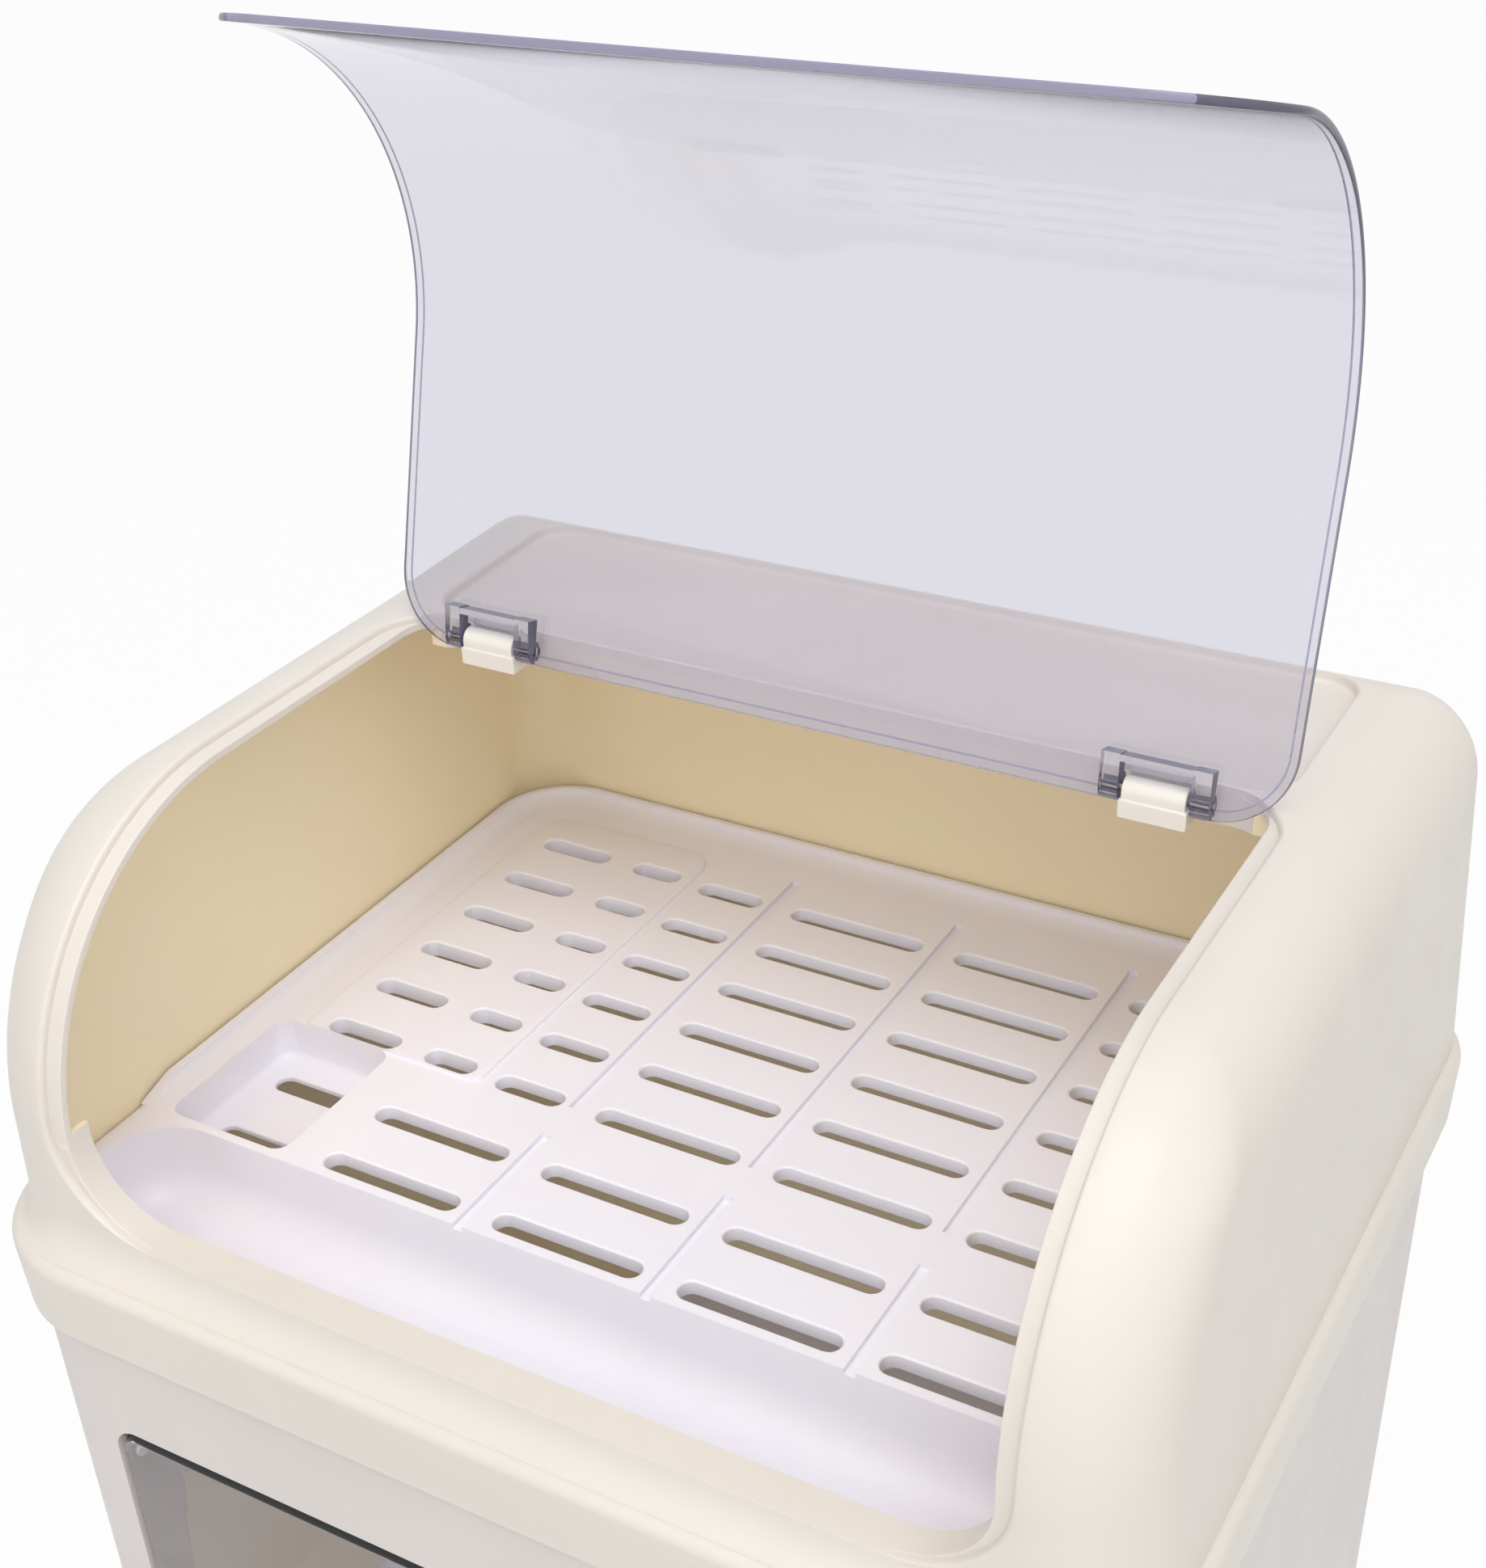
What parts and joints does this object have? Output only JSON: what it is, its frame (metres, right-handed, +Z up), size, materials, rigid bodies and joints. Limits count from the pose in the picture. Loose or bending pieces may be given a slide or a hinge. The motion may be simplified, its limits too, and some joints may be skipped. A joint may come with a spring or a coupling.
{
  "type": "covered dish drainer",
  "caption": "Two-tier countertop dish drainer in cream plastic with a curved clear lid that closes over a slotted tray, above a lower box with a clear flip-up door.",
  "frame": {"origin": "on the floor, under the middle of the belt round the object; the middle of the bounding box's bottom", "axes": "+Z up, front towards -Y, width along X; the lid turns about an axis along X"},
  "size_m": [0.43, 0.363, 0.6804],
  "materials": {
    "housing_cream": "fine satin, cream",
    "tray_white": "satin, cool white",
    "fitting_ivory": "satin, ivory",
    "clear_smoke": "polished, clear with a slight smoke tint",
    "pin_steel": "drawn wire",
    "foot_rubber": "matt grey"
  },
  "bodies": {
    "base": {"upper_housing": "housing_cream", "lower_housing": "housing_cream", "upper_drain_tray": "tray_white", "lower_drain_rack": "tray_white", "drip_tray": "housing_cream", "hinge_knuckle_left": "fitting_ivory", "hinge_knuckle_right": "fitting_ivory", "hinge_pin_left": "pin_steel", "hinge_pin_right": "pin_steel", "door_pin_left": "fitting_ivory", "door_pin_right": "fitting_ivory", "foot_front_left": "foot_rubber", "foot_front_right": "foot_rubber", "foot_back_left": "foot_rubber", "foot_back_right": "foot_rubber"},
    "lid": {"lid": "clear_smoke"},
    "lower_door": {"lower_door": "clear_smoke"}
  },
  "joints": [
    {"name": "lid_hinge", "type": "hinge", "parent": "base", "child": "lid", "pos_m": [0, 0.0422, 0.444], "axis": [1, 0, 0], "range_deg": [0, 104.9]},
    {"name": "door_hinge", "type": "hinge", "parent": "base", "child": "lower_door", "pos_m": [0, -0.16726, 0.2151], "axis": [-1, 0, 0], "range_deg": [0, 95]}
  ]
}
